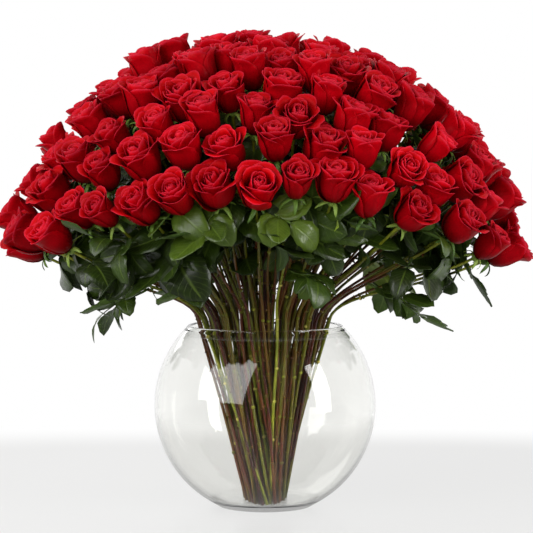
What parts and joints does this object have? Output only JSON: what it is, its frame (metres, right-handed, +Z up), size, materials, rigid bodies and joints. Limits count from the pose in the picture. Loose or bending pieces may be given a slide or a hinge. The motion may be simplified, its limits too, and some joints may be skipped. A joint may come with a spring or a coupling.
{
  "type": "roses in a vase",
  "caption": "Wide dome of long-stemmed red roses whose stems fan up through the open neck of a round clear glass bowl vase with a flat base.",
  "frame": {"origin": "middle of the vase's flat underside, on the surface it stands on", "axes": "+Z up along the vase's axis, +X along the bouquet's longest extent, -Y towards its front"},
  "size_m": [0.7115, 0.5282, 0.655],
  "materials": {
    "clear_glass": "polished",
    "rose_petals": "satin",
    "rose_stems": "satin",
    "rose_leaves": "satin"
  },
  "bodies": {
    "root": {"vase": "clear_glass", "blooms_01": "rose_petals", "blooms_02": "rose_petals", "blooms_03": "rose_petals", "blooms_04": "rose_petals", "blooms_05": "rose_petals", "blooms_06": "rose_petals", "blooms_07": "rose_petals", "blooms_08": "rose_petals", "blooms_09": "rose_petals", "blooms_10": "rose_petals", "blooms_11": "rose_petals", "blooms_12": "rose_petals", "blooms_13": "rose_petals", "blooms_14": "rose_petals", "blooms_15": "rose_petals", "blooms_16": "rose_petals", "blooms_17": "rose_petals", "blooms_18": "rose_petals", "blooms_19": "rose_petals", "blooms_20": "rose_petals", "blooms_21": "rose_petals", "blooms_22": "rose_petals", "blooms_23": "rose_petals", "blooms_24": "rose_petals", "stems_01": "rose_stems", "stems_02": "rose_stems", "stems_03": "rose_stems", "stems_04": "rose_stems", "stems_05": "rose_stems", "stems_06": "rose_stems", "stems_07": "rose_stems", "stems_08": "rose_stems", "stems_09": "rose_stems", "stems_10": "rose_stems", "stems_11": "rose_stems", "stems_12": "rose_stems", "stems_13": "rose_stems", "stems_14": "rose_stems", "stems_15": "rose_stems", "stems_16": "rose_stems", "stems_17": "rose_stems", "stems_18": "rose_stems", "stems_19": "rose_stems", "stems_20": "rose_stems", "stems_21": "rose_stems", "stems_22": "rose_stems", "stems_23": "rose_stems", "stems_24": "rose_stems", "leaf_01": "rose_leaves", "leaf_02": "rose_leaves", "leaf_03": "rose_leaves", "leaf_04": "rose_leaves", "leaf_05": "rose_leaves", "leaf_06": "rose_leaves", "leaf_07": "rose_leaves", "leaf_08": "rose_leaves", "leaf_09": "rose_leaves", "leaf_10": "rose_leaves", "leaf_11": "rose_leaves"}
  },
  "joints": []
}
